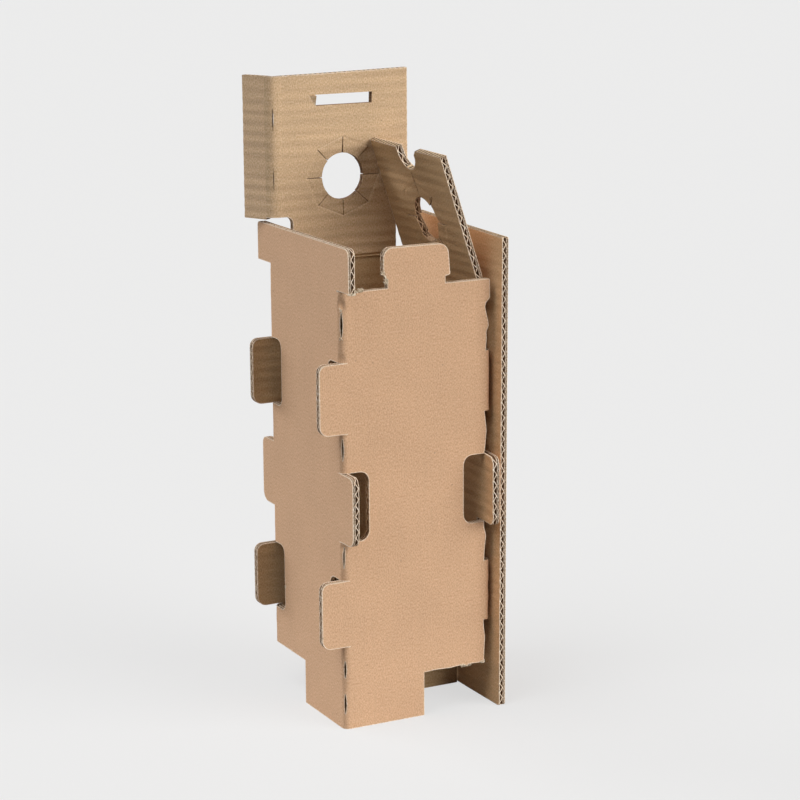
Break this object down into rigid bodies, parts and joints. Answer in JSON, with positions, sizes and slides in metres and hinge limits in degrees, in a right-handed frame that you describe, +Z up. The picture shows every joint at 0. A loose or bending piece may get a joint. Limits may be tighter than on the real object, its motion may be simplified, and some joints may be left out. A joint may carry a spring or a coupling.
{
  "type": "bottle shipping box",
  "caption": "Upright die-cut corrugated sleeve for one bottle, with interlocking spacer tabs, a folding neck flap, a slotted top flap and a closing side panel.",
  "frame": {"origin": "middle of the bounding box, on the ground under the foot and the closing panel", "axes": "+Z up, +X to the closing panel along the front wall, +Y to the back wall that carries the top flap"},
  "size_m": [0.1148, 0.1248, 0.3625],
  "materials": {
    "kraft_board": "matte brown kraft, open flutes at cut edges"
  },
  "bodies": {
    "sleeve": {"sleeve": "kraft_board"},
    "top_flap": {"top_flap": "kraft_board"},
    "side_strip": {"side_strip": "kraft_board"},
    "neck_flap": {"neck_flap": "kraft_board"},
    "closing_panel": {"closing_panel": "kraft_board"}
  },
  "joints": [
    {"name": "top_fold", "type": "hinge", "parent": "sleeve", "child": "top_flap", "pos_m": [0.00393, 0.04373, 0.25395], "axis": [-1, 0, 0], "range_deg": [0, 90]},
    {"name": "strip_fold", "type": "hinge", "parent": "top_flap", "child": "side_strip", "pos_m": [-0.04042, 0.04373, 0.32], "axis": [0, 0, -1], "range_deg": [-62, 28]},
    {"name": "neck_fold", "type": "hinge", "parent": "sleeve", "child": "neck_flap", "pos_m": [0.04868, -0.00167, 0.241], "axis": [0, -1, 0], "range_deg": [-18.2, 71.8]},
    {"name": "closing_fold", "type": "hinge", "parent": "sleeve", "child": "closing_panel", "pos_m": [0.05323, 0.04373, 0.139], "axis": [0, 0, 1], "range_deg": [-1.2, 120]}
  ]
}
